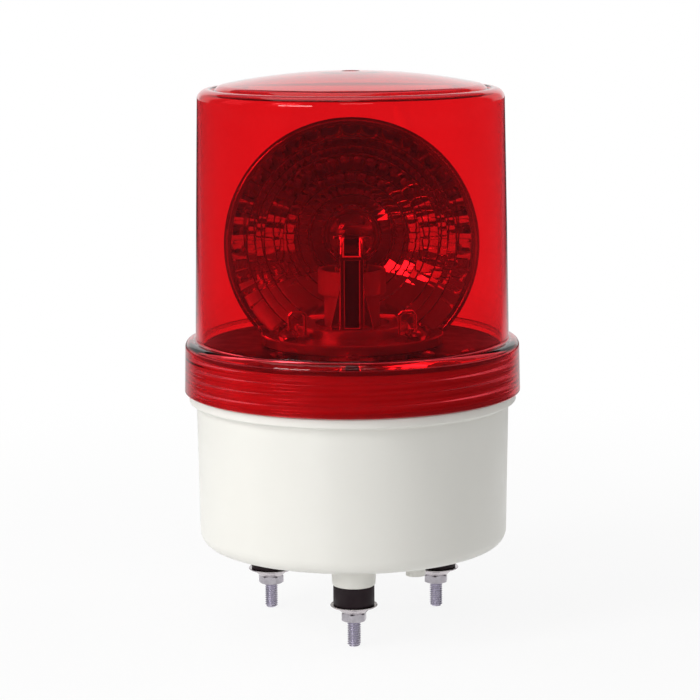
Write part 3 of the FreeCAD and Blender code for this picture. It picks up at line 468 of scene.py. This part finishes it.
def lens_inside():
    """From the crown down to the foot of the threaded bore; the wall grows thicker on the way."""
    wall = LENS_TOP_WALL
    foot = LENS_R_LOW - LENS_WALL
    points = [(0.0, LENS_TOP - 2 * wall)]
    points += [(r, dome_z(r, DOME_R - wall)) for r in range(9, 54, 5)]
    points += arc(RIM, DOME_ROUND - wall, DOME_LEAN, 36, 10)
    points += rounded([points[-1] + (0,), (GROOVE_R - 0.4, GROOVE_LOW - wall, 0.3),
                       (GROOVE_R + 0.6, GROOVE_LOW - wall, 0.3),
                       (GROOVE_R + 1.4, CREST - wall, 0.3), (CREST_R, CREST - wall, 0)])[1:-1]
    points += arc((CREST_R, LENS_EDGE), SHOULDER_ROUND - wall, 90, 0, 14)
    points += divided((LENS_R_HIGH - wall, LENS_EDGE), (foot, COLLAR_HIGH), 8)[1:]
    points += rounded([(foot, COLLAR_HIGH, 0), (foot, COLLAR_SHOULDER, 0.3),
                       (COLLAR_BORE_R, COLLAR_SHOULDER, 0.6),
                       (COLLAR_BORE_R, LENS_THREAD_TOP, 0)])
    return points + divided((COLLAR_BORE_R, LENS_THREAD_TOP), (COLLAR_BORE_R, COLLAR_LOW), 66)[1:]


def lens_thread(r, z, turn):
    """Bore with its ridge, which fades out at both ends."""
    if abs(r - COLLAR_BORE_R) > 1e-6 or z > LENS_THREAD_TOP + 0.1:
        return r, z
    share = ridge(z, turn) * fade(z, COLLAR_LOW + 0.8, LENS_THREAD_TOP - 0.2, 1.5)
    return r - LENS_RIDGE * share, z


lens = piece("lens_shell", *spun_mesh(lens_outside() + lens_inside(), LENS_SIDES, move=lens_thread),
             RED, "lens", "lens_red")
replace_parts(lens, "lens")


# Screw thread on the neck of the base, half a lead away from the lens thread
def neck_thread(rows=70):
    low, high = LIP_HIGH + NECK_THREAD_INSET, NECK_HIGH - NECK_THREAD_INSET
    root = NECK_R - 0.4
    profile = [(root, low)]
    profile += [(NECK_R, low + (high - low) * k / rows) for k in range(rows + 1)]
    profile += [(root, high)]

    def move(r, z, turn):
        if r == root:
            return r, z
        share = ridge(z, turn, 0.5) * fade(z, low + 0.3, high - 0.3, 1.2)
        return r + 0.02 + NECK_RIDGE * share, z

    return spun_mesh(profile, LENS_SIDES, move=move, closed=False)


piece("neck_thread", *neck_thread(), NECK, "base", "housing_white")


# Studs with a rolled thread at the free end, which starts at z = 0
def stud(x, y, first, rows=144):
    blunt_r = STUD_R - 1.0
    low, high = 0.12, NUT_LOW + 0.6
    profile = [(0.0, 0.0), (blunt_r, 0.0)]
    profile += [(STUD_R, low + (high - low) * k / rows) for k in range(rows + 1)]
    profile += [(STUD_CORE_R, high + 0.2), (STUD_CORE_R, STUD_TOP - 0.6),
                (STUD_CORE_R - 0.6, STUD_TOP), (0.0, STUD_TOP)]

    def move(r, z, turn):
        if r != STUD_R:
            return r, z
        wave = abs(((z / STUD_PITCH - turn / (2 * math.pi) + first) % 1.0) * 2 - 1)
        depth = STUD_GROOVE * min(1.0, max(0.0, (wave - 0.12) / 0.76))
        tip = 0.85 * max(0.0, STUD_TIP - z)
        return max(blunt_r, r - depth - tip), z

    return spun_mesh(profile, STUD_SIDES, (x, y), move, closed=False)


studs = [stud(*polar(STUD_CIRCLE_R, angle), STUD_OFFSET * k) for k, angle in enumerate(STUD_ANGLES)]
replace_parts(piece("threaded_studs", *joined(studs), STUD_ZINC, "base", "zinc"), "mounting_studs")


# Hexagon nuts with turned chamfers
def nut(x, y, first):
    low, high = NUT_LOW, NUT_HIGH
    profile = [(NUT_BORE_R, low + 0.5), (3.2, low + 0.05), (3.6, low), (NUT_FACE_R, low)]
    profile += [(NUT_BLANK_R, low + t) for t in NUT_CHAMFER_ROWS]
    profile += [(NUT_BLANK_R, high - t) for t in reversed(NUT_CHAMFER_ROWS)]
    profile += [(NUT_FACE_R, high), (3.6, high), (NUT_BORE_R, high - 0.5)]

    def move(r, z, turn):
        if r < NUT_BLANK_R:
            return r, z
        corner = (math.degrees(turn) - first + 30) % 60 - 30
        hexagon = NUT_FLAT / math.cos(math.radians(30 - abs(corner)))
        cone = NUT_FACE_R + 0.05 + 1.9 * min(z - low, high - z) ** 0.85
        return min(hexagon, NUT_CORNER_R, cone), z

    return spun_mesh(profile, NUT_SIDES, (x, y), move)


nuts = [nut(*polar(STUD_CIRCLE_R, angle), first) for angle, first in zip(STUD_ANGLES, NUT_TURNS)]
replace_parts(piece("stud_nuts", *joined(nuts), ZINC, "base", "zinc", smooth=False), "hex_nuts")

# Stage: white paper on the floor, dark studio around it, white backdrop, soft boxes.
# Lengths are in metres; a strength of 1 is white.
FLOOR_SIZE, FLOOR_Z = 12.0, -0.0003
FLOOR_IN_WALL, WORLD_IN_WALL = 0.88, 0.72
AMBIENT, STUDIO_DARK = 0.38, 0.035
LAMP_TARGET = (0, 0, 0.13)


def span(made, value, start, end, low, high):
    """Smooth change from low to high while value goes from start to end."""
    return mapped(made, value, start, end, low, high, "SMOOTHSTEP")


def times(made, first, *more):
    for value in more:
        first = calc(made, "MULTIPLY", first, value)
    return first


def largest(made, first, *more):
    for value in more:
        first = calc(made, "MAXIMUM", first, value)
    return first


def blended(made, share, first, second):
    """first where share is 0, second where it is 1."""
    rest = calc(made, "SUBTRACT", 1.0, share)
    return calc(made, "ADD", times(made, first, rest), times(made, second, share))


def ray_kinds(made):
    """Shares of rays that look at the stage, and of those mirrored outside the lens, in its wall
    and inside it."""
    rays = node(made, "ShaderNodeLightPath").outputs
    looking = largest(made, rays["Is Camera Ray"], rays["Is Transmission Ray"],
                      rays["Is Glossy Ray"])
    looking = times(made, looking, calc(made, "LESS_THAN", rays["Diffuse Depth"], 0.5))
    mirrored = calc(made, "GREATER_THAN", rays["Glossy Depth"], 0.5)
    outside = times(made, mirrored, calc(made, "LESS_THAN", rays["Transmission Depth"], 1.5))
    inside = times(made, mirrored, calc(made, "GREATER_THAN", rays["Transmission Depth"], 2.5))
    wall = calc(made, "SUBTRACT", calc(made, "SUBTRACT", mirrored, outside), inside)
    return looking, outside, wall, inside


def floor_finish():
    """Pale paper; mirrored rays see how far it and the backdrop reach in the studio."""
    made = material("floor_paper", Roughness=0.9)
    colour_by(made, noise(made, 3.0), (0.3, (0.86, 0.86, 0.86)), (0.7, (0.90, 0.90, 0.90)))
    spot = node(made, "ShaderNodeTexCoord").outputs["Object"]
    where = node(made, "ShaderNodeSeparateXYZ")
    link(made, spot, where.inputs["Vector"])
    x, y = where.outputs["X"], where.outputs["Y"]
    length = node(made, "ShaderNodeVectorMath", operation="LENGTH")
    link(made, spot, length.inputs[0])
    away = length.outputs["Value"]
    aside = calc(made, "ABSOLUTE", x)
    turned = calc(made, "DIVIDE", aside, away)
    looking, outside, wall, inside = ray_kinds(made)

    # Seen in the outside of the lens: paper near the foot, and behind the light a backdrop that
    # narrows with distance
    paper = span(made, away, 0.40, 0.55, 1.0, 0.02)
    beyond = largest(made, calc(made, "SUBTRACT", away, 0.8), 0.0)
    width = calc(made, "ADD", turned, times(made, beyond, 0.65))
    backdrop = times(made, span(made, width, 0.22, 0.38, 1.0, 0.55),
                     span(made, width, 0.46, 0.88, 1.0, 0.02), span(made, y, 0.0, 0.15, 0.0, 1.0))

    # Seen in the mirror: dim in a wedge before the light, bright elsewhere, most at the left
    sector = calc(made, "ADD", y, times(made, aside, 0.9))
    bright = times(made, span(made, sector, -0.04, 0.06, 0.0, 1.0),
                   span(made, x, -0.1, 0.1, 1.0, 0.75), span(made, away, 0.75, 1.15, 1.0, 0.95))
    bowl = largest(made, bright, span(made, turned, 0.3, 0.8, 0.06, 0.16))

    strength = blended(made, outside, 1.0, largest(made, paper, backdrop))
    strength = blended(made, inside, blended(made, wall, strength, FLOOR_IN_WALL), bowl)
    glow = node(made, "ShaderNodeEmission")
    link(made, strength, glow.inputs["Strength"])
    faded = span(made, away, 0.10, 0.60, 0.88, 1.0)
    mix = node(made, "ShaderNodeMixShader")
    link(made, times(made, looking, largest(made, faded, outside, wall, inside)), mix.inputs["Fac"])
    link(made, shader_of(made).outputs["BSDF"], mix.inputs[1])
    link(made, glow.outputs["Emission"], mix.inputs[2])
    output = next(n for n in made.node_tree.nodes if n.type == "OUTPUT_MATERIAL")
    link(made, mix.outputs["Shader"], output.inputs["Surface"])
    return made


def stage_plane(name, size, height, made):
    half = size / 2
    corners = [(-half, -half), (half, -half), (half, half), (-half, half)]
    mesh = bpy.data.meshes.new(name)
    mesh.from_pydata([(x, y, height) for x, y in corners], [], [(0, 1, 2, 3)])
    mesh.materials.append(made)
    thing = bpy.data.objects.new(name, mesh)
    scene.collection.objects.link(thing)


def lamp(name, place, size, power, target=LAMP_TARGET, mirrored=True, through=True):
    """Soft box turned to the target; it may be hidden from mirrored rays and from rays through
    clear pieces."""
    data = bpy.data.lights.new(name, "AREA")
    data.shape = "RECTANGLE"
    data.size, data.size_y = size
    data.energy = power
    thing = bpy.data.objects.new(name, data)
    look = Vector(target) - Vector(place)
    turn = look.to_track_quat("-Z", "Y").to_matrix().to_4x4()
    thing.matrix_world = Matrix.Translation(place) @ turn
    thing.visible_camera = False
    thing.visible_glossy = mirrored
    thing.visible_transmission = through
    scene.collection.objects.link(thing)


def studio_world():
    """White to the camera and through the lens, soft ambient light for dull surfaces, and for
    mirrored rays a dark studio with a white backdrop behind the light."""
    world = bpy.data.worlds.new("studio_white")
    world.use_nodes = True
    looking, outside, wall, inside = ray_kinds(world)
    aim = node(world, "ShaderNodeSeparateXYZ")
    link(world, node(world, "ShaderNodeTexCoord").outputs["Generated"], aim.inputs["Vector"])
    x, y, z = (aim.outputs[axis] for axis in "XYZ")
    aside = calc(world, "ABSOLUTE", x)
    lower = span(world, z, 0.445, 0.465, 1.0, 0.04)
    narrow = times(world, span(world, aside, 0.36, 0.46, 1.0, 0.5),
                   span(world, aside, 0.70, 0.80, 1.0, 0.0),
                   span(world, y, 0.3, 0.5, 0.0, 1.0), lower)
    broad = times(world, span(world, y, 0.60, 0.80, 0.0, 1.0), lower)
    front = times(world, span(world, z, 0.50, 0.65, 0.0, 0.65),
                  span(world, y, -0.4, -0.2, 1.0, 0.0))
    bowl = largest(world, broad, span(world, aside, 0.35, 0.80, 0.05, 0.20),
                   span(world, z, 0.20, 0.42, 0.0, 0.28), front)
    seen = blended(world, outside, 1.0, largest(world, narrow, STUDIO_DARK))
    seen = blended(world, inside, blended(world, wall, seen, WORLD_IN_WALL), bowl)
    back = world.node_tree.nodes["Background"]
    back.inputs["Color"].default_value = (1, 1, 1, 1)
    link(world, blended(world, looking, AMBIENT, seen), back.inputs["Strength"])
    return world


stage_plane("floor", FLOOR_SIZE, FLOOR_Z, floor_finish())
lamp("key", (-1.00, -0.75, 1.05), (0.5, 0.5), 7.7, mirrored=False)
lamp("side_left", (-1.15, -0.80, 0.58), (0.60, 0.48), 1.0, mirrored=False)
lamp("edge_left", (-0.87, -0.98, 0.56), (0.60, 0.28), 3.2)
lamp("wide_left", (-1.50, 0.25, 0.80), (0.7, 0.9), 3.8, mirrored=False)
lamp("fill_right", (1.35, 0.35, 0.74), (0.3, 0.8), 3.4, mirrored=False, through=False)
lamp("top_soft", (-0.30, 0.10, 1.50), (1.0, 1.0), 3.0, through=False)
lamp("front_top", (0.10, -1.25, 1.30), (0.6, 0.25), 0.7)
lamp("low_glint", (-0.13, -0.27, 0.022), (0.10, 0.035), 0.035, (0, 0, 0.012))
scene.world = studio_world()

# Camera at the photograph's place, its focal length measured in the photograph's pixels
PHOTO_WIDTH, PHOTO_FOCAL = 700.0, 2495.0
CAMERA_PLACE = (-0.00102, -1.100, 0.3055)
CAMERA_TILT, CAMERA_ROLL = 80.62, -0.36
eye = bpy.data.cameras.new("camera")
eye.sensor_width = 36.0
eye.lens = eye.sensor_width * PHOTO_FOCAL / PHOTO_WIDTH
eye.clip_start, eye.clip_end = 0.05, 50.0
camera = bpy.data.objects.new("camera", eye)
camera.matrix_world = (Matrix.Translation(CAMERA_PLACE)
                       @ Matrix.Rotation(math.radians(CAMERA_TILT), 4, "X")
                       @ Matrix.Rotation(math.radians(CAMERA_ROLL), 4, "Z"))
scene.collection.objects.link(camera)
scene.camera = camera
scene.view_settings.view_transform = "Standard"

# Light passes the lens, the bulb and the mirror's facets many times
scene.cycles.max_bounces = 32
scene.cycles.transmission_bounces = 32
scene.cycles.glossy_bounces = 16
